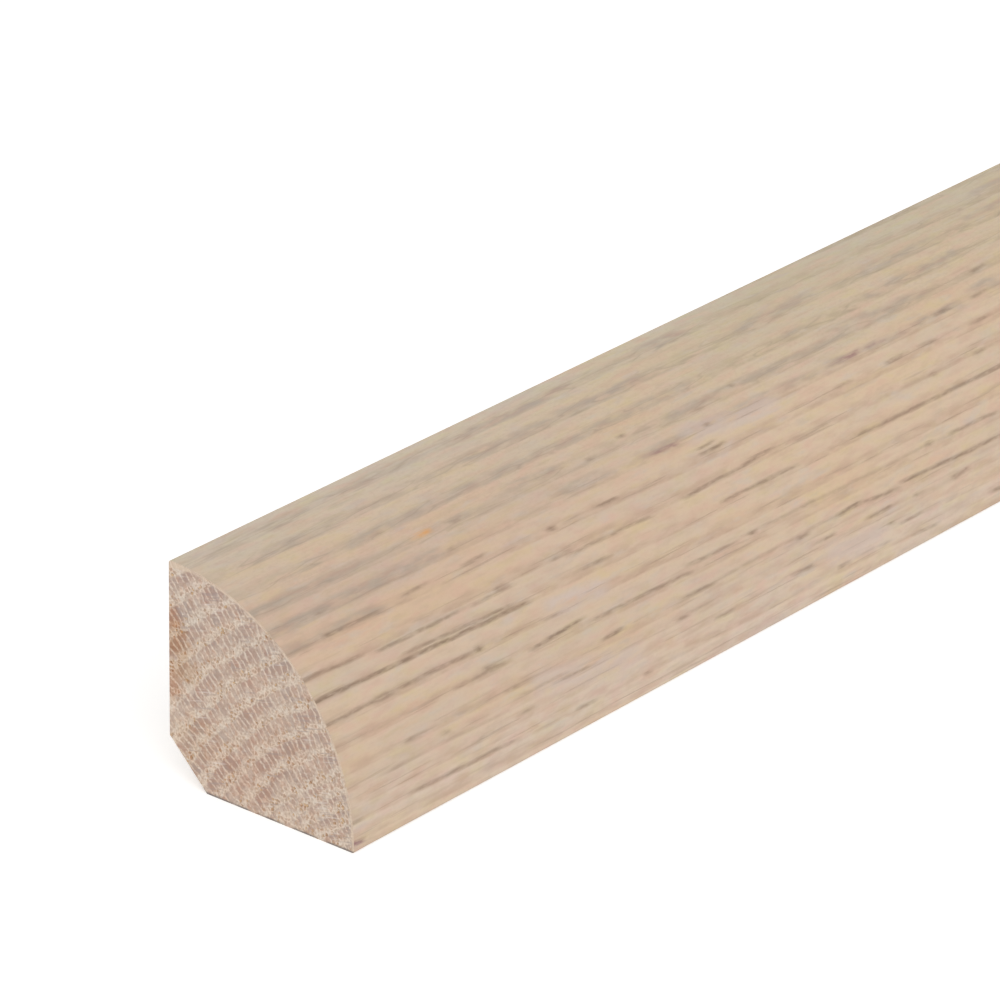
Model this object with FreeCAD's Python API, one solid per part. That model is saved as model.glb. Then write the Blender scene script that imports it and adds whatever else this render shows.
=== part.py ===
"""Quarter round moulding: one straight length of machined oak trim.

It lies as it is fixed, with its flat floor face down, its flat wall face to the back (+Y) and its
quarter round show face to the front (-Y). The length runs along X. The corner where floor and wall
would meet is planed off, so that the strip seats over caulk, nails or an uneven skirting foot.
The origin is under the middle of the strip, on the floor. Sizes are in millimetres.
"""

import FreeCAD
import Part

import math
import os

# Driving dimensions
length = 1981.2  # 78 inches, a stock length of prefinished floor trim
face_radius = 19.05  # 3/4 inch, radius of the show face and so the height and the depth of the strip
back_chamfer = 3.9  # leg of the 45 degree chamfer along the hidden corner
arris_radius = 0.2  # sanded easing of the two long edges of the show face

# Places that follow from them
wall_y = face_radius / 2
toe_y = wall_y - face_radius
heel_y = wall_y - back_chamfer
end_x = -length / 2


def section_point(y, z):
    """A point of the section, in the plane of the left end."""
    return FreeCAD.Vector(end_x, y, z)


def section_outline():
    """The closed outline of the section: floor face, chamfer, wall face and quarter round."""
    toe = section_point(toe_y, 0)
    floor_heel = section_point(heel_y, 0)
    wall_foot = section_point(wall_y, back_chamfer)
    top = section_point(wall_y, face_radius)

    half_way = math.radians(45)
    crown = section_point(
        wall_y - face_radius * math.cos(half_way),
        face_radius * math.sin(half_way),
    )
    edges = [
        Part.LineSegment(toe, floor_heel),
        Part.LineSegment(floor_heel, wall_foot),
        Part.LineSegment(wall_foot, top),
        Part.Arc(top, crown, toe),
    ]
    return Part.Wire([edge.toShape() for edge in edges])


def runs_along(edge, y, z):
    """Whether an edge of the strip is the long one through this point of the section."""
    middle = edge.CenterOfMass
    on_line = math.hypot(middle.y - y, middle.z - z) < arris_radius / 2
    return on_line and abs(middle.x) < arris_radius / 2


def quarter_round():
    """The whole strip: the section run along its length, with the show face's long edges eased."""
    strip = Part.Face(section_outline()).extrude(FreeCAD.Vector(length, 0, 0))
    show_face_edges = [
        edge
        for edge in strip.Edges
        if runs_along(edge, toe_y, 0) or runs_along(edge, wall_y, face_radius)
    ]
    return strip.makeFillet(arris_radius, show_face_edges)


def main():
    os.makedirs("parts", exist_ok=True)
    strip = quarter_round()
    strip.exportStep("parts/quarter_round.step")
    box = strip.BoundBox
    print(f"quarter_round {box.XLength:.2f} x {box.YLength:.2f} x {box.ZLength:.2f} mm")
    print(f"volume {strip.Volume / 1000:.1f} cm3, valid {strip.isValid()}, faces {len(strip.Faces)}")


main()
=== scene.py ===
"""Looks of the quarter round moulding: one strip of limed oak floor trim, lying on a white floor.

The strip runs along X, its wall face looks to +Y and its rounded show face to the front and up.
Lengths are in metres, apart from the wood's own pattern, which is worked out in millimetres.
"""

import math
from collections import namedtuple

import bpy
from mathutils import Matrix, Vector


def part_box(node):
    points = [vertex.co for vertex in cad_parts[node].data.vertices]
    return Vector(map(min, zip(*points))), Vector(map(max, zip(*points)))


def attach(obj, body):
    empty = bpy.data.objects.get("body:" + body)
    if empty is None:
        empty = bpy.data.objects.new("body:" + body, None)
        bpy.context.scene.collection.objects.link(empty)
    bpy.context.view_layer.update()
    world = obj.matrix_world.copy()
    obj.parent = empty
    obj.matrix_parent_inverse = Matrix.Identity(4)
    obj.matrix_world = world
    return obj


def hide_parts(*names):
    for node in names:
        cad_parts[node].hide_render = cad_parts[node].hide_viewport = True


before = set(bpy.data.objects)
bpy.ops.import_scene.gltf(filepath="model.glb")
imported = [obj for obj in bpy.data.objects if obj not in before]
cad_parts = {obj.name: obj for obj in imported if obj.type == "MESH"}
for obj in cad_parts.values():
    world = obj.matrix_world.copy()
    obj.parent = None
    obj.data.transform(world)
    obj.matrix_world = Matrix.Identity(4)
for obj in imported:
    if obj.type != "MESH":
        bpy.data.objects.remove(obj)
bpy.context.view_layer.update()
strip_low, strip_high = (Vector(corner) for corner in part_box("quarter_round"))

MM = 0.001

# Place of the strip in the frame
LENGTH = strip_high.x - strip_low.x
NEAR_END_X = strip_low.x
WALL_Y = strip_high.y

# Section of the strip
FACE_RADIUS = 19.05 * MM
BACK_CHAMFER = 3.9 * MM
ARRIS_RADIUS = 0.2 * MM

# Columns of the strip's mesh, counted round the section
FLOOR_COLUMNS = 26
CHAMFER_COLUMNS = 10
WALL_COLUMNS = 26
ARRIS_COLUMNS = 4
FACE_COLUMNS = 240
BARE_COLUMNS = FLOOR_COLUMNS + CHAMFER_COLUMNS + WALL_COLUMNS
COLUMNS = BARE_COLUMNS + 2 * ARRIS_COLUMNS + FACE_COLUMNS

# Rows of the strip's mesh, closer together on the photographed stretch than on the rest of the length
PHOTOGRAPHED_STRETCH = 140 * MM
PHOTOGRAPHED_ROWS = 176
REST_ROWS = 60

# Rows of an end's mesh, and the height and depth of the hub that they spread from, as a share of the radius
END_ROWS = 30
HUB_SHARE = 0.42

MERGE_DISTANCE = 0.001 * MM
SHARP_EDGE = math.radians(30)

# Kinds of surface, beside the show face with 0
BARE_BACK = 1
SAWN_END = 2

# The texture map, and the area of each sheet of the strip's skin on it, as shares of the map
BAKE_MAP = "OFBake"
MapArea = namedtuple("MapArea", "left low width height")
NEAR_END_MAP = MapArea(0.005, 0.005, 0.185, 0.185)
FAR_END_MAP = MapArea(0.2, 0.005, 0.185, 0.185)
PHOTOGRAPHED_MAP = MapArea(0.004, 0.6, 0.992, 0.395)
REST_MAP = MapArea(0.004, 0.2, 0.992, 0.395)

# Camera, measured from the foot of the near end's middle
CAMERA_FROM_NEAR_END = Vector((-0.3288, -0.2896, 0.2298))
CAMERA_AZIMUTH = math.radians(-51.0)
CAMERA_ELEVATION = math.radians(24.81)
CAMERA_ROLL = math.radians(1.02)
CAMERA_LENS = 228.6
CAMERA_SENSOR = 36
CAMERA_REACH = 100

# Studio: a white floor, a white room and two broad lamps, each with its strength and the way it shines
FLOOR_HALF_SIZE = 40.0
FLOOR_PAINT = (0.82, 0.82, 0.82, 1)
FLOOR_GLOW = 0.4
ROOM_PAINT = (1, 1, 1, 1)
ROOM_LIGHT = 0.478
LAMP_ANGLE = math.radians(60)
Lamp = namedtuple("Lamp", "strength shining")
LAMPS = {
    "front_lamp": Lamp(1.86, Vector((0.6, 0.6, -0.55))),
    "back_lamp": Lamp(0.5, Vector((-0.6, -0.6, -0.55))),
}

# Growth of the tree in millimetres: the pith's place in the section, the widths of the early and the later
# rings, where the later ones start, the slope of the grain along the strip, and how close rays and pores lie
PITH_Y = -18.5
PITH_Z = -14.5
EARLY_RING = 1.29
LATER_RING = 1.934
LATER_RINGS_START = 23.1
GRAIN_SLOPE = 0.011
RAY_SPACING = 0.57
PORES_PER_MM = 3.0

# Saw marks on the end: their slant, and their length and width in millimetres
SAW_SLANT = math.radians(15)
SAW_MARK_LENGTH = 3.5
SAW_MARK_WIDTH = 0.22

# Depth of the wood's relief in millimetres, on the faces and on the ends
FACE_SPRING_DEPTH = 0.012
FACE_LINE_DEPTH = 0.035
FACE_PORE_DEPTH = 0.015
END_SPRING_DEPTH = 0.03
END_SAW_DEPTH = 0.05

# Shine of every finish, as its specular level
SHINE = 0.3

# Length in millimetres over which a mark fades in and out, and the most of a short mark that does
MARK_TAPER = 1.8
TAPER_SHARE = 0.3

# A mark's full core and its faded edge, as shares of its half width
MARK_CORE = 0.5
MARK_EDGE = 1.9

# A mark on the show face in millimetres: from and to along the length, measured from the near end,
# its start and finish down the curve, measured from the top edge, its half width and its strength
Mark = namedtuple("Mark", "begin end start finish half_width strength")

# Marks listed one by one, on the stretch that the photograph shows
PORE_LINES = [
    Mark(15.8, 17, 7.4, 7.2, 0.14, 0.5),
    Mark(23.7, 24.4, 9.4, 9.3, 0.15, 0.42),
    Mark(40.3, 41.5, 9.75, 9.7, 0.15, 0.6),
    Mark(44.8, 46, 9.15, 9.15, 0.14, 0.6),
    Mark(59.3, 60, 9.45, 9.45, 0.16, 0.5),
    Mark(81, 82.1, 9.6, 9.5, 0.13, 0.4),
    Mark(93, 96, 9.95, 9.85, 0.14, 0.55),
    Mark(5, 6.6, 11.25, 11.25, 0.13, 0.4),
    Mark(20.6, 21.7, 11.35, 11.35, 0.16, 0.5),
    Mark(53.7, 55, 11.65, 11.65, 0.16, 0.5),
    Mark(85.2, 88.3, 12.0, 12.0, 0.15, 0.5),
    Mark(90.5, 94, 12.2, 12.0, 0.14, 0.5),
    Mark(-2, 4, 13.15, 13.1, 0.13, 0.22),
    Mark(3.6, 11.8, 13.12, 13.28, 0.14, 0.5),
    Mark(4.3, 5.8, 13.12, 13.12, 0.18, 0.6),
    Mark(13.2, 17.2, 13.02, 12.95, 0.13, 0.5),
    Mark(20.8, 24.4, 13.05, 12.92, 0.12, 0.6),
    Mark(31.2, 32.4, 13.55, 13.55, 0.17, 0.7),
    Mark(36.8, 40.8, 13.6, 13.72, 0.12, 0.65),
    Mark(50.5, 54, 13.1, 13.12, 0.1, 0.6),
    Mark(50.4, 55, 13.65, 13.66, 0.13, 0.7),
    Mark(69.3, 72.3, 13.85, 13.85, 0.1, 0.4),
    Mark(76.3, 80.2, 13.86, 13.9, 0.15, 0.6),
    Mark(81.2, 84.2, 13.92, 14.0, 0.14, 0.55),
    Mark(88.5, 92.5, 14.1, 14.15, 0.13, 0.5),
    Mark(-2, 7.6, 15.42, 15.7, 0.13, 0.55),
    Mark(7.3, 19, 15.97, 16.15, 0.13, 0.6),
    Mark(18.5, 25.8, 16.15, 16.17, 0.12, 0.5),
    Mark(22.7, 24.1, 15.95, 15.95, 0.18, 0.6),
    Mark(29.4, 33, 15.88, 15.72, 0.15, 0.5),
    Mark(31, 43.6, 16.12, 16.32, 0.12, 0.5),
    Mark(46, 59.6, 16.28, 15.92, 0.12, 0.65),
    Mark(58, 92, 16.05, 16.65, 0.12, 0.12),
    Mark(80.5, 81.9, 16.5, 16.55, 0.16, 0.5),
    Mark(87, 89.2, 16.6, 16.6, 0.16, 0.5),
    Mark(-2, 26.4, 17.28, 18.02, 0.14, 0.8),
    Mark(10, 24.6, 17.1, 17.62, 0.12, 0.58),
    Mark(31.3, 36.8, 17.6, 17.7, 0.12, 0.62),
    Mark(49.8, 61.6, 17.98, 18.06, 0.12, 0.6),
    Mark(67.8, 73, 18.15, 18.27, 0.12, 0.5),
    Mark(71, 93, 18.26, 18.65, 0.13, 0.6),
    Mark(-2, 18.5, 19.28, 19.46, 0.13, 0.6),
    Mark(5, 8.6, 19.33, 19.45, 0.2, 0.6),
    Mark(17.6, 19, 19.45, 19.45, 0.2, 0.75),
    Mark(20, 24.8, 19.65, 19.72, 0.1, 0.2),
    Mark(25.8, 29, 19.85, 19.92, 0.12, 0.5),
    Mark(-2, 10, 21.15, 21.25, 0.12, 0.2),
    Mark(13.4, 21.6, 21.36, 21.45, 0.14, 0.48),
    Mark(17.6, 20.2, 21.15, 21.25, 0.23, 0.6),
    Mark(23, 31, 21.62, 21.05, 0.13, 0.8),
    Mark(30.4, 45, 21.62, 21.97, 0.12, 0.55),
    Mark(43, 51, 21.22, 21.42, 0.12, 0.55),
    Mark(52, 53.3, 21.45, 21.45, 0.17, 0.7),
    Mark(50, 74, 21.3, 21.7, 0.11, 0.3),
    Mark(58.5, 61.3, 21.5, 21.5, 0.15, 0.5),
    Mark(72, 79.5, 21.6, 21.7, 0.1, 0.25),
    Mark(76.4, 77.9, 21.65, 21.65, 0.19, 0.75),
    Mark(79, 88, 21.72, 22.05, 0.12, 0.52),
    Mark(2, 24, 23.15, 23.55, 0.12, 0.16),
    Mark(6.9, 9, 23.3, 23.32, 0.14, 0.4),
    Mark(11.2, 12.5, 24.3, 24.3, 0.15, 0.5),
    Mark(19.3, 21.7, 23.58, 23.6, 0.13, 0.5),
    Mark(31.4, 34.8, 23.55, 23.4, 0.13, 0.8),
    Mark(41.4, 47.2, 23.55, 23.68, 0.12, 0.58),
    Mark(46, 63, 23.55, 23.45, 0.12, 0.25),
    Mark(57.6, 59.2, 23.66, 23.66, 0.17, 0.65),
    Mark(62.3, 67.4, 23.6, 23.35, 0.15, 0.8),
    Mark(66, 72.6, 23.42, 24.05, 0.13, 0.6),
    Mark(71.4, 88, 23.56, 24.08, 0.13, 0.65),
    Mark(3, 20, 24.75, 25.05, 0.12, 0.2),
    Mark(4.5, 7, 24.82, 24.85, 0.11, 0.35),
    Mark(20, 28, 24.45, 24.55, 0.12, 0.3),
    Mark(24.6, 31, 24.85, 25.0, 0.12, 0.48),
    Mark(40.6, 42.7, 25.1, 25.1, 0.12, 0.5),
    Mark(42, 46, 25.0, 25.0, 0.12, 0.3),
    Mark(59.2, 63, 24.82, 24.84, 0.13, 0.55),
    Mark(66, 71.6, 24.92, 25.08, 0.13, 0.6),
    Mark(73.3, 75, 25.17, 25.2, 0.14, 0.6),
    Mark(78.6, 81.9, 25.5, 25.22, 0.16, 0.65),
    Mark(14.2, 17.1, 26.3, 25.95, 0.12, 0.45),
    Mark(20.3, 23, 25.88, 25.9, 0.11, 0.4),
    Mark(45.4, 48.8, 26.62, 26.64, 0.13, 0.5),
    Mark(55.7, 59.7, 26.52, 26.4, 0.15, 0.65),
    Mark(69.5, 70.6, 26.52, 26.52, 0.13, 0.5),
    Mark(70.9, 74.7, 26.98, 26.96, 0.12, 0.5),
    Mark(-1, 1.7, 27.38, 27.38, 0.14, 0.5),
    Mark(6.4, 20.6, 27.42, 27.74, 0.13, 0.55),
    Mark(27.2, 30.3, 27.92, 27.94, 0.13, 0.5),
    Mark(35.9, 37, 28.1, 28.1, 0.15, 0.55),
    Mark(62.1, 64, 27.92, 27.92, 0.14, 0.6),
    Mark(67.5, 70.2, 27.95, 27.98, 0.12, 0.25),
    Mark(72.2, 77.2, 28.56, 28.75, 0.13, 0.5),
    Mark(84, 87, 28.5, 28.5, 0.15, 0.6),
]
GREY_BANDS = [
    Mark(8, 34, 1.7, 1.8, 0.5, 0.28),
    Mark(32, 48, 2.05, 2.15, 0.35, 0.65),
    Mark(56, 63, 2.0, 2.1, 0.5, 0.6),
    Mark(102, 112, 2.3, 2.2, 0.3, 0.55),
    Mark(15, 20.5, 2.75, 2.8, 0.2, 0.5),
    Mark(6, 13, 4.3, 4.4, 0.45, 0.33),
    Mark(29, 46, 4.4, 4.6, 0.4, 0.45),
    Mark(44, 54, 4.7, 4.9, 0.4, 0.6),
    Mark(65, 78, 4.6, 4.75, 0.4, 0.6),
    Mark(82, 95, 5.0, 5.1, 0.5, 0.5),
    Mark(98, 110, 4.9, 4.6, 0.35, 0.6),
    Mark(12, 24, 7.0, 7.2, 0.4, 0.45),
    Mark(24, 47, 7.1, 7.4, 0.3, 0.45),
    Mark(47, 57, 7.4, 7.6, 0.35, 0.5),
    Mark(68.6, 72, 7.5, 7.3, 0.25, 0.65),
    Mark(80, 95, 7.6, 7.4, 0.35, 0.55),
    Mark(-2, 14, 8.8, 9.0, 0.4, 0.55),
    Mark(23.5, 26, 9.2, 9.3, 0.25, 0.6),
    Mark(30, 38, 8.6, 9.2, 0.35, 0.55),
    Mark(50, 63, 9.5, 9.5, 0.35, 0.5),
    Mark(60, 84, 9.6, 9.8, 0.3, 0.45),
    Mark(73, 88, 9.0, 9.6, 0.35, 0.5),
    Mark(-2, 21, 10.9, 11.1, 0.45, 0.65),
    Mark(33, 42, 11.0, 11.4, 0.4, 0.5),
    Mark(44, 74, 11.4, 11.8, 0.3, 0.55),
    Mark(75, 90, 11.9, 12.0, 0.25, 0.65),
    Mark(90, 96, 11.7, 11.4, 0.4, 0.6),
    Mark(-2, 12, 12.7, 12.9, 0.4, 0.5),
]
PLUM_FLECKS = [
    Mark(-1, 1.7, 29.05, 29.2, 0.18, 0.95),
    Mark(45.8, 50.6, 11.8, 11.95, 0.18, 0.6),
    Mark(71.8, 75.6, 11.95, 11.82, 0.2, 0.7),
    Mark(75, 79, 11.92, 11.92, 0.1, 0.4),
]
AMBER_FLECKS = [
    Mark(18.8, 21.3, 9.1, 9.0, 0.2, 0.75),
]
LILAC_WASH = [
    Mark(26, 35, 19.2, 19.6, 0.6, 0.8),
    Mark(22, 37, 24.2, 26.4, 0.9, 0.6),
    Mark(50, 64, 11.6, 12.8, 0.7, 0.6),
    Mark(60, 70, 26.2, 27.4, 0.9, 0.6),
]

FACE_MARKS = {
    "pore_lines": PORE_LINES,
    "grey_bands": GREY_BANDS,
    "plum_flecks": PLUM_FLECKS,
    "amber_flecks": AMBER_FLECKS,
    "lilac_wash": LILAC_WASH,
}

# A stain on the sawn end in millimetres: depth from the wall face, height, half sizes and strength,
# with the colour of its glaze
Stain = namedtuple("Stain", "depth height half_depth half_height strength glaze")

END_STAINS = [
    Stain(0.9, 12.3, 2.0, 1.9, 1.0, (0.84, 0.67, 0.52, 1)),
    Stain(0.4, 14.4, 1.2, 1.3, 0.95, (0.92, 0.74, 0.62, 1)),
    Stain(0.4, 8.6, 1.4, 2.0, 0.95, (0.88, 0.7, 0.58, 1)),
    Stain(1.7, 10.0, 1.8, 1.6, 0.8, (0.84, 0.74, 0.6, 1)),
    Stain(2.6, 4.3, 3.0, 2.6, 0.6, (0.95, 0.86, 0.75, 1)),
    Stain(7.4, 2.6, 4.0, 3.2, 0.8, (0.95, 0.85, 0.81, 1)),
    Stain(11.0, 6.0, 5.0, 3.0, 0.6, (0.95, 0.87, 0.83, 1)),
    Stain(2.2, 15.0, 2.4, 1.8, 0.6, (0.9, 0.95, 1.0, 1)),
    Stain(8.6, 14.2, 4.4, 1.8, 0.6, (0.9, 0.94, 0.98, 1)),
    Stain(3.6, 17.4, 3.4, 1.4, 0.6, (0.93, 0.9, 0.94, 1)),
]


def tone(red, green, blue):
    """A screen colour, 0 to 255, as the linear colour that a shader takes."""
    def linear(level):
        level /= 255
        return level / 12.92 if level <= 0.04045 else ((level + 0.055) / 1.055) ** 2.4

    return (linear(red), linear(green), linear(blue), 1)


# Tones of the show face's stain, from its top edge to its toe and where it took redder or greyer; the
# darker, greyer top and the paler toe are partly the stain's own tone and partly painted shade and painted
# light
TOP_STAIN_AND_SHADE = tone(203, 187, 165)
UPPER_STAIN = tone(207, 185, 160)
LOWER_STAIN = tone(211, 187, 161)
TOE_STAIN_AND_LIGHT = tone(216, 196, 176)
RUDDY_STAIN = tone(208, 176, 152)
ASHEN_STAIN = tone(195, 184, 174)

# Faint glazes over the stain, as the shares of red, green and blue that they let through
PINK_GLAZE = (1.0, 0.92, 0.96, 1)
STRAW_GLAZE = (0.98, 1.0, 0.89, 1)
BLUE_GLAZE = (0.95, 0.975, 1.0, 1)
CREAM_GLAZE = (1.0, 0.98, 0.91, 1)
ROSY_GLAZE = (1.0, 0.95, 0.955, 1)
COOL_GLAZE = (0.975, 0.975, 1.0, 1)
SUNNED_GLAZE = (0.985, 1.0, 0.965, 1)
DUSKY_GLAZE = (0.94, 0.95, 0.94, 1)

# Tones of the show face's grain
NEAR_BAND = tone(182, 163, 143)
FAR_BAND = tone(178, 160, 133)
STEEP_BAND = tone(184, 155, 133)
COOL_GREY = tone(172, 157, 142)
WARM_GREY = tone(180, 153, 136)
HAZE = tone(188, 163, 140)
LILAC = tone(204, 186, 176)
VEIN = tone(150, 131, 114)
FINE_PORE = tone(160, 138, 120)
FIBRE = tone(178, 153, 130)
SPECK = tone(176, 151, 129)
AMBER = tone(220, 156, 84)
PLUM = tone(142, 102, 106)
PORE_LINE = tone(127, 105, 86)

# Tones and glazes of the sawn end
END_SHADE = tone(207, 186, 167)
END_LIGHT = tone(229, 212, 194)
END_HOLLOW = tone(176, 151, 131)
ROSY_BLOCK = tone(179, 149, 134)
GREY_BLOCK = tone(176, 154, 142)
DARK_BLOT = tone(174, 147, 130)
PALE_BLOT = tone(226, 208, 190)
ROSY_CELL_GLAZE = (1.0, 0.93, 0.9, 1)
COOL_CELL_GLAZE = (0.95, 0.975, 1.0, 1)
PALE_PORE = tone(206, 168, 126)
TAN_PORE = tone(172, 130, 94)
END_SPECK = tone(170, 143, 123)
SAW_SHADE = tone(168, 152, 146)
SAW_LIGHT = tone(224, 213, 205)
FILM = tone(220, 199, 176)
# Painted shadow: a dark line along the end's foot where it meets the floor
PAINTED_FLOOR_SHADOW = tone(118, 112, 108)

# Tones of the bare planed back
BACK_SHADE = tone(202, 174, 140)
BACK_LIGHT = tone(214, 188, 154)
BACK_SPRING = tone(184, 152, 116)
BACK_PORE = tone(146, 115, 84)
BACK_FIBRE = tone(160, 128, 95)
OVERSPRAY = tone(208, 188, 164)


def find_socket(sockets, key):
    """A node's socket by its number, identifier or name."""
    if isinstance(key, int):
        return sockets[key]
    for socket in sockets:
        if socket.identifier == key:
            return socket
    return sockets[key]


class Wire:
    """One socket of a node tree, on which plain arithmetic adds Math nodes."""

    def __init__(self, tree, socket=None):
        self.tree = tree
        self.socket = socket

    def node(self, kind, inputs=None, outputs=0, **settings):
        """Adds a node, sets it, feeds its sockets with values or wires, and gives one output or several."""
        made = self.tree.nodes.new(kind)
        for name, value in settings.items():
            setattr(made, name, value)
        for key, value in (inputs or {}).items():
            socket = find_socket(made.inputs, key)
            if isinstance(value, Wire):
                self.tree.links.new(value.socket, socket)
            else:
                socket.default_value = value
        if isinstance(outputs, tuple):
            return tuple(Wire(self.tree, find_socket(made.outputs, key)) for key in outputs)
        return Wire(self.tree, find_socket(made.outputs, outputs))

    def maths(self, operation, first, second=0.0):
        return self.node("ShaderNodeMath", {0: first, 1: second}, operation=operation)

    def __add__(self, other):
        return self.maths("ADD", self, other)

    def __sub__(self, other):
        return self.maths("SUBTRACT", self, other)

    def __mul__(self, other):
        return self.maths("MULTIPLY", self, other)

    def __truediv__(self, other):
        return self.maths("DIVIDE", self, other)

    def __radd__(self, other):
        return self.maths("ADD", other, self)

    def __rsub__(self, other):
        return self.maths("SUBTRACT", other, self)

    def __rmul__(self, other):
        return self.maths("MULTIPLY", other, self)

    def __abs__(self):
        return self.maths("ABSOLUTE", self)

    def least(self, other):
        return self.maths("MINIMUM", self, other)

    def most(self, other):
        return self.maths("MAXIMUM", self, other)

    def root(self):
        return self.maths("SQRT", self)

    def fraction(self):
        return self.maths("FRACT", self)

    def fade(self, low, high):
        """A soft step from 0 at low to 1 at high, or falling where low is the larger."""
        inputs = {"Value": self, "From Min": low, "From Max": high}
        return self.node("ShaderNodeMapRange", inputs, interpolation_type="SMOOTHSTEP")

    def mix(self, low, high, blend="MIX"):
        """The colour between low and high that this value, from 0 to 1, picks."""
        inputs = {"Factor_Float": self, "A_Color": low, "B_Color": high}
        return self.node("ShaderNodeMix", inputs, "Result_Color", data_type="RGBA", blend_type=blend)

    def tint(self, colour, glaze):
        """The colour under as much of a clear glaze as this value, from 0 to 1, gives."""
        return self.mix(colour, glaze, "MULTIPLY")


def layered(colour, layers):
    """The colour under several layers, each a share from 0 to 1 and the colour that it covers with."""
    for share, cover in layers:
        colour = share.mix(colour, cover)
    return colour


def glazed(colour, glazes):
    """The colour under several clear glazes, each a share from 0 to 1 and the glaze."""
    for share, glaze in glazes:
        colour = share.tint(colour, glaze)
    return colour


Spot = namedtuple("Spot", "x y z")


def parts_of(vector):
    """The three coordinates of a place."""
    return Spot(*vector.node("ShaderNodeSeparateXYZ", {"Vector": vector}, ("X", "Y", "Z")))


def spot_of(vector):
    """The millimetre coordinates of a place given in metres."""
    inputs = {"Vector": vector, "Scale": 1 / MM}
    return parts_of(vector.node("ShaderNodeVectorMath", inputs, operation="SCALE"))


def from_near_end(spot):
    """How far a place lies along the strip."""
    return spot.x - NEAR_END_X / MM


def from_wall(spot):
    """How far a place lies in front of the wall face."""
    return WALL_Y / MM - spot.y


def down_the_curve(spot):
    """How far a place on the show face lies below the top edge, along the curve."""
    turn = spot.x.maths("ARCTAN2", from_wall(spot), spot.z)
    return turn * (FACE_RADIUS / MM)


def grain_noise(spot, along, across, seed, detail=1.0):
    """Noise from 0 to 1 that is drawn out along the grain, with sizes in millimetres."""
    inputs = {"X": spot.x / along + seed, "Y": spot.y / across, "Z": spot.z / across}
    place = spot.x.node("ShaderNodeCombineXYZ", inputs)
    return place.node("ShaderNodeTexNoise", {"Vector": place, "Scale": 1.0, "Detail": detail})


# A place in its growth ring: how far it lies past the ring's start, short of its end and from the pith
Ring = namedtuple("Ring", "since until from_pith")


def growth(spot):
    """The growth ring of a place, with rings that wander a little and widen in the tree's later years."""
    slow = grain_noise(spot, along=70, across=9, seed=3.1) - 0.5
    quick = grain_noise(spot, along=40, across=3, seed=4.7) - 0.5
    wander = slow * 0.9 + quick * 0.6
    y = spot.y - PITH_Y
    z = spot.z - PITH_Z
    from_pith = (y * y + z * z).root() + wander
    beyond = from_pith + from_near_end(spot) * GRAIN_SLOPE - LATER_RINGS_START
    later = spot.x.maths("GREATER_THAN", beyond, 0)
    width = EARLY_RING + later * (LATER_RING - EARLY_RING)
    rings = beyond / width
    since = rings.fraction() * width
    return Ring(since, width - since, from_pith)


def round_the_pith(spot, ring):
    """The way round the pith to a place, in millimetres along the start of its ring."""
    turn = spot.x.maths("ARCTAN2", spot.y - PITH_Y, spot.z - PITH_Z)
    return turn * (ring.from_pith - ring.since)


def spring_wood(since, until):
    """1 in the open-pored band that starts each ring, and 0 in its dense later wood."""
    return since.fade(1.1, 0.4).most(until.fade(0.18, 0))


def open_pores(spot, spring, low=0.58):
    """Dark dashes where the long pores of the spring wood are cut open along the surface."""
    fine = grain_noise(spot, along=7, across=0.2, seed=11.7)
    return fine.fade(low, 0.72) * spring


def emptied(owner):
    """The node tree of a material or a world without its nodes, as a wire that new ones start from."""
    owner.use_nodes = True
    owner.node_tree.nodes.clear()
    return Wire(owner.node_tree)


def new_material(name):
    """A new material, and the place on the piece that its pattern reads."""
    material = bpy.data.materials.new(name)
    place = emptied(material).node("ShaderNodeTexCoord", None, "Object")
    return material, spot_of(place)


def finish_material(colour, roughness, height, height_mm):
    """Adds the shader, with a bump of so many millimetres, and joins it to the material's output."""
    relief = {"Height": height, "Distance": height_mm * MM, "Strength": 1.0}
    normal = height.node("ShaderNodeBump", relief)
    shading = {"Base Color": colour, "Roughness": roughness, "Normal": normal, "Specular IOR Level": SHINE}
    shader = colour.node("ShaderNodeBsdfPrincipled", shading)
    shader.node("ShaderNodeOutputMaterial", {"Surface": shader}, ())


def mark_strength(spot, name):
    """The strength of one kind of mark, which the strip's mesh carries."""
    return spot.x.node("ShaderNodeAttribute", None, "Fac", attribute_name=name)


# What the steps of the show face's finish share: the place along and down it, 1 on its steep lower side,
# less than 1 where the toe is calmer, 1 in spring wood, and noise of three kinds
FaceGrain = namedtuple("FaceGrain", "along down steep calm spring smoke warmth crumb")


def face_grain(spot):
    """The values that the steps of the show face's finish share."""
    down = down_the_curve(spot)
    ring = growth(spot)
    return FaceGrain(
        along=from_near_end(spot),
        down=down,
        steep=down.fade(8, 14),
        calm=1 - 0.25 * down.fade(20, 25),
        spring=spring_wood(ring.since, ring.until),
        smoke=grain_noise(spot, along=2.4, across=0.6, seed=5.2, detail=3.0),
        warmth=grain_noise(spot, along=3, across=0.8, seed=21.3, detail=3.0),
        crumb=grain_noise(spot, along=1.1, across=0.25, seed=17.6, detail=2.0),
    )


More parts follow.
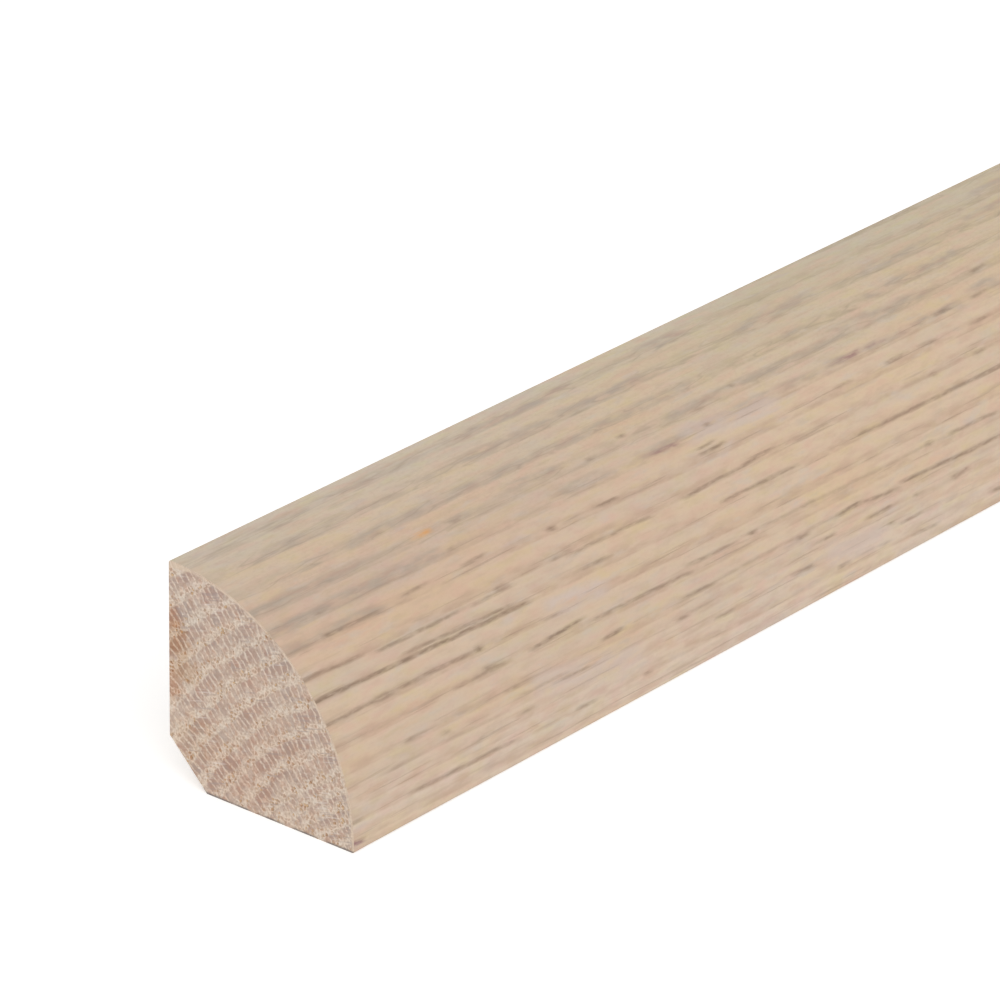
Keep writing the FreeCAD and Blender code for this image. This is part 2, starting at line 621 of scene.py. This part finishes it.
def face_stain(spot, grain):
    """The ground of the show face: beige stain, faintly mottled, greyer and darker at the top and paler at
    the toe, partly the stain's own tone and partly painted shade at the top and painted light at the toe.
    """
    along = grain.along
    down = grain.down
    mottle = grain_noise(spot, along=2.6, across=0.9, seed=27.4, detail=2.0)
    cloud = grain_noise(spot, along=14, across=2.2, seed=37.9)
    # Darker and greyer towards the top edge, paler towards the toe: partly the stain's own tone, partly
    # painted shade and painted light
    colour = down.fade(14, 10).mix(LOWER_STAIN, UPPER_STAIN)
    colour = layered(colour, [
        (down.fade(6, 0.5), TOP_STAIN_AND_SHADE),
        (down.fade(23, 29), TOE_STAIN_AND_LIGHT),
    ])
    colour = glazed(colour, [
        (mottle.fade(0.48, 0.75), PINK_GLAZE),
        (mottle.fade(0.52, 0.25), STRAW_GLAZE),
        (cloud.fade(0.48, 0.72), BLUE_GLAZE),
        (cloud.fade(0.52, 0.28), CREAM_GLAZE),
        (along.fade(60, 5) * down.fade(5, 9) * down.fade(17, 12), ROSY_GLAZE),
        (along.fade(75, 30) * down.fade(7, 11) * down.fade(29, 26), COOL_GLAZE),
        (along.fade(25, 70) * down.fade(11, 7), SUNNED_GLAZE),
        (along.fade(50, 75) * down.fade(7, 4), DUSKY_GLAZE),
    ])
    return layered(colour, [
        (grain.warmth.fade(0.5, 0.75) * 0.6, RUDDY_STAIN),
        (grain.warmth.fade(0.48, 0.22) * 0.5, ASHEN_STAIN),
    ])


def face_bands(spot, grain, colour):
    """The show face's colour with its bands of spring wood, grey bands, haze and lilac wash."""
    smoke = grain.smoke
    drift = grain_noise(spot, along=16, across=0.9, seed=33.8)
    streaks = 0.25 * smoke + smoke.fade(0.35, 0.7) * 0.6 + drift.fade(0.35, 0.7) * 0.3
    band = grain.spring * grain.calm * streaks
    level_band = grain.along.fade(25, 70).mix(NEAR_BAND, FAR_BAND)
    far_streaks = grain_noise(spot, along=13, across=0.7, seed=47.3).fade(0.48, 0.64)
    far_grey = far_streaks * grain.spring * (1 - grain.steep) * grain.along.fade(100, 118)
    grey = mark_strength(spot, "grey_bands").most(far_grey * 0.7) * (0.4 + 1.1 * smoke.fade(0.3, 0.7))
    return layered(colour, [
        (band * (0.85 - 0.1 * grain.steep), grain.steep.mix(level_band, STEEP_BAND)),
        (grey.least(1), grain.warmth.fade(0.4, 0.65).mix(COOL_GREY, WARM_GREY)),
        (smoke.fade(0.45, 0.75) * (1 - grain.spring) * 0.35, HAZE),
        (mark_strength(spot, "lilac_wash") * smoke.fade(0.25, 0.6), LILAC),
    ])


def face_lines(spot, grain):
    """Long pores cut open along the show face: given one by one on the photographed stretch, then by noise.
    """
    long_pores = grain_noise(spot, along=22, across=0.24, seed=41.3).fade(0.56, 0.76) * 0.7
    short_pores = grain_noise(spot, along=6, across=0.3, seed=44.1).fade(0.6, 0.72) * 0.8
    beyond = grain.along.fade(86, 104)
    far_lines = long_pores.most(short_pores) * grain.spring * grain.steep * beyond
    return mark_strength(spot, "pore_lines").most(far_lines) * (0.5 + 0.6 * grain.crumb.fade(0.3, 0.65))


def limed_face():
    """The finished show face: beige limed stain, grey-brown open grain and a matt lacquer."""
    material, spot = new_material("limed_face")
    grain = face_grain(spot)
    steep = grain.steep
    lines = face_lines(spot, grain)
    pores = open_pores(spot, grain.spring) * (0.2 + 0.2 * steep) * grain.calm
    vein = abs(grain_noise(spot, along=8, across=0.8, seed=51.6) - 0.5).fade(0.035, 0) * (1 - steep)
    fibre = grain_noise(spot, along=5, across=0.18, seed=8.9)
    speck = grain_noise(spot, along=0.4, across=0.25, seed=14.2)
    ragged = 0.35 + 0.65 * grain.crumb.fade(0.3, 0.65)

    colour = face_bands(spot, grain, face_stain(spot, grain))
    colour = layered(colour, [
        (vein * (0.06 + 0.24 * grain.spring), VEIN),
        (pores, FINE_PORE),
        (fibre.fade(0.5, 0.25) * (0.14 - 0.08 * steep), FIBRE),
        (speck.fade(0.55, 0.25) * (0.16 - 0.08 * steep), SPECK),
        (mark_strength(spot, "amber_flecks") * ragged, AMBER),
        (mark_strength(spot, "plum_flecks") * ragged, PLUM),
        ((lines * 0.9).least(1), PORE_LINE),
    ])
    height = 1 - lines.most(pores) - fibre * 0.12 - speck * 0.08
    finish_material(colour, roughness=0.55 + 0.2 * pores, height=height, height_mm=0.03)
    return material


# What the steps of the sawn end's finish share: 1 in spring wood, and noise of five kinds
EndGrain = namedtuple("EndGrain", "spring waver fray curl patch speck")


def end_grain(spot, ring):
    """The values that the steps of the sawn end's finish share, with ragged edges to the spring wood."""
    waver = grain_noise(spot, along=1, across=1.1, seed=2.4) - 0.5
    fray = grain_noise(spot, along=1, across=0.3, seed=9.8, detail=2.0) - 0.5
    return EndGrain(
        spring=spring_wood(ring.since + waver * 0.9 + fray * 1.1, ring.until),
        waver=waver,
        fray=fray,
        curl=grain_noise(spot, along=1, across=0.3, seed=19.4, detail=2.0) - 0.5,
        patch=grain_noise(spot, along=1, across=2.6, seed=6.9, detail=2.0),
        speck=grain_noise(spot, along=1, across=0.22, seed=7.7, detail=2.0),
    )


def end_rays(spot, grain, ring):
    """The pale rays that run out from the pith, and a shade from 0 to 1 for the wood between each two."""
    way = round_the_pith(spot, ring) / RAY_SPACING + grain.waver * 0.9
    cells = {"W": way, "Scale": 1.0, "Randomness": 0.85}
    shade = way.node("ShaderNodeTexVoronoi", cells, "Color", voronoi_dimensions="1D")
    edges = {"voronoi_dimensions": "1D", "feature": "DISTANCE_TO_EDGE"}
    from_ray = way.node("ShaderNodeTexVoronoi", cells, "Distance", **edges)
    ray = (from_ray + grain.fray * 0.3).fade(0.21, 0.07)
    return ray, shade


def end_pores(spot, grain):
    """Open pores in clusters, hollows in the wood, and a shade from 0 to 1 for each cell of them."""
    place = {"X": spot.y + grain.fray * 0.3, "Y": spot.z + grain.curl * 0.3}
    plane = spot.x.node("ShaderNodeCombineXYZ", place)
    cells = {"Vector": plane, "Scale": PORES_PER_MM, "Randomness": 1.0}
    wanted = ("Distance", "Color")
    from_middle, shade = plane.node("ShaderNodeTexVoronoi", cells, wanted, voronoi_dimensions="2D")
    edges = {"voronoi_dimensions": "2D", "feature": "DISTANCE_TO_EDGE"}
    from_edge = plane.node("ShaderNodeTexVoronoi", cells, "Distance", **edges)
    cluster = grain_noise(spot, along=1, across=0.9, seed=15.1).fade(0.5, 0.6)
    round_pore = (from_middle + grain.curl * 0.5).fade(0.42, 0.24)
    pore = round_pore * shade.fade(0.4, 0.46) * grain.spring * cluster
    hollow = from_edge.fade(0.02, 0.3) * (0.35 + 0.65 * grain.spring) * shade.fade(0.1, 0.8)
    return pore, hollow, shade


def saw_marks(spot):
    """Noise from 0 to 1 that is drawn out along the slanting strokes of the saw."""
    depth = from_wall(spot)
    along = depth * math.cos(SAW_SLANT) + spot.z * math.sin(SAW_SLANT)
    across = spot.z * math.cos(SAW_SLANT) - depth * math.sin(SAW_SLANT)
    inputs = {"X": along / SAW_MARK_LENGTH, "Y": across / SAW_MARK_WIDTH}
    place = spot.x.node("ShaderNodeCombineXYZ", inputs)
    return place.node("ShaderNodeTexNoise", {"Vector": place, "Scale": 1.0, "Detail": 1.0})


def end_stains(spot, grain, soaked):
    """The stains of the sawn end, each as its share from 0 to 1 and its glaze."""
    depth = from_wall(spot)
    glazes = []
    for stain in END_STAINS:
        off = (depth - stain.depth) / stain.half_depth
        up = (spot.z - stain.height) / stain.half_height
        inside = (off * off + up * up + grain.waver * 1.2 + grain.fray).fade(1.0, 0.1)
        glazes.append((inside * stain.strength * soaked, stain.glaze))
    return glazes


def end_edges(spot, grain):
    """Layers at the sawn end's edges: a film of the face's finish along the curve, and a painted contact
    shadow along its foot at the floor.
    """
    depth = from_wall(spot)
    to_curve = FACE_RADIUS / MM - (depth * depth + spot.z * spot.z).root()
    film = (to_curve - depth.fade(3, 0) * 0.35).fade(0.3, 0.15)
    # Painted contact shadow: a thin dark line along the end's bottom edge at the floor, patchy by noise
    floor_shadow = spot.z.fade(0.22, 0.08) * grain.patch.fade(0.3, 0.5)
    return [
        (film * (0.3 + 0.5 * grain.patch.fade(0.35, 0.6)), FILM),
        (floor_shadow * 0.8, PAINTED_FLOOR_SHADOW),
    ]


def sawn_end():
    """The bare sawn end: pale rays across mauve-brown late wood, and tan pores in the spring wood."""
    material, spot = new_material("sawn_end")
    ring = growth(spot)
    grain = end_grain(spot, ring)
    patch = grain.patch
    speck = grain.speck
    ray, block_shade = end_rays(spot, grain, ring)
    pore, hollow, cell_shade = end_pores(spot, grain)
    block = (1 - grain.spring) * (1 - ray * 0.9) * (0.38 + 0.3 * block_shade + 0.45 * patch.fade(0.36, 0.6))
    blot = grain_noise(spot, along=1, across=0.6, seed=18.3)
    saw = saw_marks(spot)
    scored = patch.fade(0.45, 0.6)
    soaked = 0.45 + 0.55 * block.most(hollow).least(1)

    colour = speck.fade(0.3, 0.7).mix(END_SHADE, END_LIGHT)
    colour = layered(colour, [
        (hollow * 0.8, END_HOLLOW),
        (block.least(1), block_shade.fade(0.2, 0.8).mix(ROSY_BLOCK, GREY_BLOCK)),
        (blot.fade(0.55, 0.75) * 0.5, DARK_BLOT),
        (blot.fade(0.45, 0.25) * 0.5, PALE_BLOT),
    ])
    colour = glazed(colour, [
        (cell_shade.fade(0.55, 0.9), ROSY_CELL_GLAZE),
        (cell_shade.fade(0.45, 0.1), COOL_CELL_GLAZE),
    ])
    colour = layered(colour, [
        (pore * 0.8, cell_shade.fade(0.55, 0.95).mix(PALE_PORE, TAN_PORE)),
        (speck.fade(0.47, 0.22) * 0.5, END_SPECK),
        (saw.fade(0.56, 0.7) * scored * 0.55, SAW_SHADE),
        (saw.fade(0.4, 0.27) * scored * 0.5, SAW_LIGHT),
    ])
    colour = glazed(colour, end_stains(spot, grain, soaked))
    colour = layered(colour, end_edges(spot, grain))
    height = speck * 0.4 - pore - ray * 0.2
    finish_material(colour, roughness=0.85, height=height, height_mm=0.05)
    return material


def planed_back():
    """The unfinished floor, wall and chamfer faces: bare planed oak with a trace of overspray."""
    material, spot = new_material("planed_back")
    ring = growth(spot)
    spring = spring_wood(ring.since, ring.until)
    smoke = grain_noise(spot, along=12, across=1.2, seed=4.4, detail=2.0)
    fibre = grain_noise(spot, along=8, across=0.15, seed=9.1)
    pores = open_pores(spot, spring, low=0.5)
    from_corner = spot.z.most(from_wall(spot))
    overspray = (from_corner + smoke * 2.4).fade(18.2, 20)

    colour = smoke.fade(0.3, 0.7).mix(BACK_SHADE, BACK_LIGHT)
    colour = layered(colour, [
        (spring * 0.35, BACK_SPRING),
        (pores * 0.7, BACK_PORE),
        (fibre.fade(0.5, 0.3) * 0.25, BACK_FIBRE),
        (overspray * (1 - 0.5 * pores) * 0.65, OVERSPRAY),
    ])
    height = 1 - pores - fibre * 0.2
    finish_material(colour, roughness=0.75, height=height, height_mm=0.04)
    return material


def socket_names(record):
    """The names of a record's fields as the sockets of a tree show them."""
    return [field.replace("_", " ").title() for field in record._fields]


def store(strip, name, value, domain="POINT", data_type="FLOAT"):
    """The strip with a value stored on it under a name."""
    inputs = {"Geometry": strip, "Name": name, "Value": value}
    return strip.node("GeometryNodeStoreNamedAttribute", inputs, domain=domain, data_type=data_type)


def stored(strip, name):
    """A value that is stored on the strip."""
    return strip.node("GeometryNodeInputNamedAttribute", {"Name": name}, data_type="FLOAT")


# Sizes that the strip's tree takes
Sizes = namedtuple("Sizes", "length face_radius back_chamfer arris_radius photographed_stretch")


def straight(done, y, z):
    """As much of a straight step as is done."""
    return done * y, done * z


def turned(angle):
    """The cosine and the sine of an angle, which is a wire or a number."""
    if isinstance(angle, Wire):
        return angle.maths("COSINE", angle), angle.maths("SINE", angle)
    return math.cos(angle), math.sin(angle)


def arc(done, radius, first, last):
    """As much of a turn from a first to a last angle as is done."""
    from_y, from_z = turned(first)
    to_y, to_z = turned(first + done * (last - first))
    return radius * (to_y - from_y), radius * (to_z - from_z)


def outline(size, column):
    """The section's outline, from the toe along the floor, up the wall and down the show face.

    Each arris runs smoothly into its flat and into the curve, so the flat ends at a reach a little short of
    the radius, and the curve begins and ends at a small lean off the square.
    """
    radius = size.face_radius
    chamfer = size.back_chamfer
    arris = size.arris_radius
    reach = (radius * radius - 2 * radius * arris).root()
    lean = arris.maths("ARCSINE", arris / (radius - arris))
    quarter = math.pi / 2
    stretches = [
        (FLOOR_COLUMNS, straight, (reach - chamfer, 0.0)),
        (CHAMFER_COLUMNS, straight, (chamfer, chamfer)),
        (WALL_COLUMNS, straight, (0.0, reach - chamfer)),
        (ARRIS_COLUMNS, arc, (arris, 0.0, lean + quarter)),
        (FACE_COLUMNS, arc, (radius, lean + quarter, 2 * quarter - lean)),
        (ARRIS_COLUMNS, arc, (arris, 2 * quarter - lean, 3 * quarter)),
    ]
    y = radius * 0.5 - reach
    z = 0.0
    first = 0
    for columns, form, shape in stretches:
        done = ((column - first) / columns).most(0).least(1)
        step_y, step_z = form(done, *shape)
        y = y + step_y
        z = z + step_z
        first += columns
    return y, z


def flat_sheet(size, rows):
    """A flat sheet of mesh, and the share from 0 to 1 of its columns and of its rows at each point."""
    grid = {"Size X": 1.0, "Size Y": 1.0, "Vertices X": COLUMNS + 1, "Vertices Y": rows + 1}
    sheet = size.length.node("GeometryNodeMeshGrid", grid, "Mesh")
    flat = parts_of(sheet.node("GeometryNodeInputPosition"))
    return sheet, flat.x + 0.5, flat.y + 0.5


def mapped(sheet, area, across, up):
    """The sheet with its texture map stored, from shares of the area that it takes there."""
    inputs = {"X": area.left + across * area.width, "Y": area.low + up * area.height}
    place = sheet.node("ShaderNodeCombineXYZ", inputs)
    return store(sheet, BAKE_MAP, place, "CORNER", "FLOAT2")


def shaped(sheet, x, y, z):
    """The sheet with its points at their places. What reads the flat sheet is stored before this."""
    place = sheet.node("ShaderNodeCombineXYZ", {"X": x, "Y": y, "Z": z})
    return sheet.node("GeometryNodeSetPosition", {"Geometry": sheet, "Position": place})


def side_sheet(size, begin, end, rows, area):
    """The strip's skin along one stretch of its length: the show face, and the bare faces behind it."""
    sheet, column_share, row_share = flat_sheet(size, rows)
    y, z = outline(size, column_share * COLUMNS)
    bare = column_share.maths("LESS_THAN", column_share, BARE_COLUMNS / COLUMNS)
    sheet = mapped(sheet, area, row_share, 1 - column_share)
    sheet = store(sheet, "rim", 1.0)
    sheet = store(sheet, "surface", bare * BARE_BACK, "FACE")
    return shaped(sheet, begin + row_share * (end - begin), y, z)


def end_sheet(size, x, facing, area):
    """A sawn end that faces -1 or 1 along X, in rows between a hub and the rim, mapped as it is seen."""
    radius = size.face_radius
    hub_z = radius * HUB_SHARE
    hub_y = radius * 0.5 - hub_z
    sheet, column_share, row_share = flat_sheet(size, END_ROWS)
    rim_y, rim_z = outline(size, column_share * COLUMNS)
    rim = row_share if facing < 0 else 1 - row_share
    y = hub_y + (rim_y - hub_y) * rim
    z = hub_z + (rim_z - hub_z) * rim
    sheet = mapped(sheet, area, y / radius * facing + 0.5, z / radius)
    sheet = store(sheet, "rim", rim)
    sheet = store(sheet, "surface", SAWN_END, "FACE")
    return shaped(sheet, x, y, z)


def welded(sheets):
    """The sheets as one closed strip, smooth but for its sharp edges."""
    tree = sheets[0].tree
    join = tree.nodes.new("GeometryNodeJoinGeometry")
    for sheet in reversed(sheets):
        tree.links.new(sheet.socket, join.inputs["Geometry"])
    strip = Wire(tree, join.outputs["Geometry"])
    strip = strip.node("GeometryNodeMergeByDistance", {"Geometry": strip, "Distance": MERGE_DISTANCE})
    bend = strip.node("GeometryNodeInputMeshEdgeAngle", None, "Unsigned Angle")
    sharp = bend.maths("GREATER_THAN", bend, SHARP_EDGE)
    inputs = {"Geometry": strip, "Selection": sharp, "Shade Smooth": False}
    return strip.node("GeometryNodeSetShadeSmooth", inputs, domain="EDGE")


def mark_group():
    """A node group for one mark, which keeps the stronger of it and the marks so far."""
    tree = bpy.data.node_groups.new("mark", "GeometryNodeTree")
    names = ("Along", "Down", *socket_names(Mark), "So Far")
    for name in names:
        tree.interface.new_socket(name, in_out="INPUT", socket_type="NodeSocketFloat")
    tree.interface.new_socket("Strongest", in_out="OUTPUT", socket_type="NodeSocketFloat")
    along, down, *given, so_far = Wire(tree).node("NodeGroupInput", None, names)
    mark = Mark(*given)
    length = mark.end - mark.begin
    done = (along - mark.begin) / length
    off = abs(down - mark.start - done * (mark.finish - mark.start))
    taper = (length * TAPER_SHARE).least(MARK_TAPER)
    ends = (along - mark.begin).fade(0, taper) * (mark.end - along).fade(0, taper)
    here = off.fade(mark.half_width * MARK_EDGE, mark.half_width * MARK_CORE) * ends * mark.strength
    here.node("NodeGroupOutput", {"Strongest": here.most(so_far)}, ())
    return tree


def with_marks(strip, spot):
    """The strip with the strength of each kind of mark stored for the show face's finish."""
    sway = (grain_noise(spot, along=4, across=3, seed=6.3) - 0.5) * 0.3
    along = from_near_end(spot)
    down = down_the_curve(spot) + sway
    group = mark_group()
    names = socket_names(Mark)
    for kind, marks in FACE_MARKS.items():
        strongest = 0.0
        for mark in marks:
            inputs = {"Along": along, "Down": down, "So Far": strongest}
            inputs.update(zip(names, mark))
            strongest = along.node("GeometryNodeGroup", inputs, node_tree=group)
        strip = store(strip, kind, strongest)
    return strip


def with_relief(strip, spot):
    """The strip with its spring wood, pores and saw marks sunk below the smooth surface."""
    ring = growth(spot)
    spring = spring_wood(ring.since, ring.until)
    along = from_near_end(spot)
    stretch = PHOTOGRAPHED_STRETCH / MM
    pores = open_pores(spot, spring) * along.fade(stretch, 0.8 * stretch)
    lines = stored(strip, "pore_lines")
    on_faces = spring * FACE_SPRING_DEPTH + lines * FACE_LINE_DEPTH + pores * FACE_PORE_DEPTH
    off_the_ends = along.fade(0.2, 1.5) * (LENGTH / MM - along).fade(0.2, 1.5)
    saw = grain_noise(spot, along=1, across=0.5, seed=12.6, detail=2.0)
    on_ends = spring * END_SPRING_DEPTH + saw * END_SAW_DEPTH
    rim = stored(strip, "rim")
    depth = on_faces * off_the_ends * rim.fade(0.97, 1.0) + on_ends * rim.fade(1.0, 0.9)
    normal = strip.node("GeometryNodeInputNormal")
    inputs = {"Vector": normal, "Scale": depth * -MM}
    offset = normal.node("ShaderNodeVectorMath", inputs, operation="SCALE")
    return strip.node("GeometryNodeSetPosition", {"Geometry": strip, "Offset": offset})


def with_finishes(strip, face, end, back):
    """The strip as plain mesh in the show face's finish, with its bare back and sawn ends in their own."""
    strip = strip.node("GeometryNodeReplaceMaterial", {"Geometry": strip, "New": face})
    strip = strip.node("GeometryNodeRealizeInstances", {"Geometry": strip})
    surface = stored(strip, "surface")
    for kind, material in ((BARE_BACK, back), (SAWN_END, end)):
        chosen = surface.maths("COMPARE", surface, kind)
        inputs = {"Geometry": strip, "Selection": chosen, "Material": material}
        strip = strip.node("GeometryNodeSetMaterial", inputs)
    return strip


def strip_tree(face, end, back):
    """The tree that sweeps the section along the strip and closes its two ends, and its inputs' values."""
    tree = bpy.data.node_groups.new("moulding_strip", "GeometryNodeTree")
    names = socket_names(Sizes)
    sizes = Sizes(LENGTH, FACE_RADIUS, BACK_CHAMFER, ARRIS_RADIUS, PHOTOGRAPHED_STRETCH)
    values = {}
    for name, value in zip(names, sizes):
        socket = tree.interface.new_socket(name, in_out="INPUT", socket_type="NodeSocketFloat")
        values[socket.identifier] = value
    tree.interface.new_socket("Strip", in_out="OUTPUT", socket_type="NodeSocketGeometry")
    size = Sizes(*Wire(tree).node("NodeGroupInput", None, tuple(names)))

    near = size.length * -0.5
    far = size.length * 0.5
    photographed_to = near + size.photographed_stretch
    strip = welded([
        end_sheet(size, near, -1, NEAR_END_MAP),
        side_sheet(size, near, photographed_to, PHOTOGRAPHED_ROWS, PHOTOGRAPHED_MAP),
        side_sheet(size, photographed_to, far, REST_ROWS, REST_MAP),
        end_sheet(size, far, 1, FAR_END_MAP),
    ])
    spot = spot_of(strip.node("GeometryNodeInputPosition"))
    strip = with_marks(strip, spot)
    strip = with_relief(strip, spot)
    strip = with_finishes(strip, face, end, back)
    strip.node("NodeGroupOutput", {"Strip": strip}, ())
    return tree, values


def put_in_scene(name, data):
    """A new object in the scene for a mesh, a lamp or a camera."""
    made = bpy.data.objects.new(name, data)
    bpy.context.scene.collection.objects.link(made)
    return made


def make_moulding():
    """The strip as one plain mesh."""
    holder = put_in_scene("moulding_sweep", bpy.data.meshes.new("moulding_sweep"))
    tree, values = strip_tree(limed_face(), sawn_end(), planed_back())
    sweep = holder.modifiers.new("sweep", "NODES")
    sweep.node_group = tree
    for identifier, value in values.items():
        sweep[identifier] = value
    graph = bpy.context.evaluated_depsgraph_get()
    mesh = bpy.data.meshes.new_from_object(holder.evaluated_get(graph), depsgraph=graph)
    bpy.data.objects.remove(holder)
    mesh.name = "moulding"
    return put_in_scene("moulding", mesh)


def shown_white(start):
    """1 where the backdrop is seen straight, mirrored or through glass, and 0 where it only gives light."""
    rays = ("Is Camera Ray", "Is Glossy Ray", "Is Transmission Ray")
    camera, glossy, transmission = start.node("ShaderNodeLightPath", None, rays)
    return camera.most(glossy).most(transmission)


def make_floor():
    """A plain white floor that shows only the strip's soft shadow."""
    half = FLOOR_HALF_SIZE
    corners = [(-half, -half, 0), (half, -half, 0), (half, half, 0), (-half, half, 0)]
    mesh = bpy.data.meshes.new("floor")
    mesh.from_pydata(corners, [], [(0, 1, 2, 3)])
    floor = put_in_scene("floor", mesh)

    material = bpy.data.materials.new("floor_paint")
    start = emptied(material)
    paint = start.node("ShaderNodeBsdfDiffuse", {"Color": FLOOR_PAINT})
    glow = start.node("ShaderNodeEmission", {"Strength": shown_white(start) * FLOOR_GLOW})
    surface = start.node("ShaderNodeAddShader", {0: paint, 1: glow})
    start.node("ShaderNodeOutputMaterial", {"Surface": surface}, ())
    mesh.materials.append(material)


def make_light():
    """Even studio light: a white room, a broad soft lamp from the front and a weak one from behind."""
    world = bpy.data.worlds.new("studio")
    start = emptied(world)
    strength = ROOM_LIGHT + (1 - ROOM_LIGHT) * shown_white(start)
    room = start.node("ShaderNodeBackground", {"Color": ROOM_PAINT, "Strength": strength})
    start.node("ShaderNodeOutputWorld", {"Surface": room}, ())
    bpy.context.scene.world = world

    for name, lamp in LAMPS.items():
        light = bpy.data.lights.new(name, "SUN")
        light.energy = lamp.strength
        light.angle = LAMP_ANGLE
        holder = put_in_scene(name, light)
        holder.rotation_mode = "QUATERNION"
        holder.rotation_quaternion = lamp.shining.to_track_quat("-Z", "Y")


def make_camera():
    """The camera at the photograph's viewing angle."""
    back = Vector((
        math.sin(CAMERA_AZIMUTH) * math.cos(CAMERA_ELEVATION),
        -math.cos(CAMERA_AZIMUTH) * math.cos(CAMERA_ELEVATION),
        math.sin(CAMERA_ELEVATION),
    ))
    turn = (-back).to_track_quat("-Z", "Y").to_matrix() @ Matrix.Rotation(CAMERA_ROLL, 3, "Z")
    place = Vector((NEAR_END_X, 0, 0)) + CAMERA_FROM_NEAR_END
    lens = bpy.data.cameras.new("camera")
    lens.lens = CAMERA_LENS
    lens.sensor_width = CAMERA_SENSOR
    lens.clip_end = CAMERA_REACH
    camera = put_in_scene("camera", lens)
    camera.matrix_world = Matrix.Translation(place) @ turn.to_4x4()
    bpy.context.scene.camera = camera


moulding = make_moulding()
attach(moulding, "root")
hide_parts("quarter_round")

make_floor()
make_light()
make_camera()
bpy.context.scene.view_settings.view_transform = "Standard"
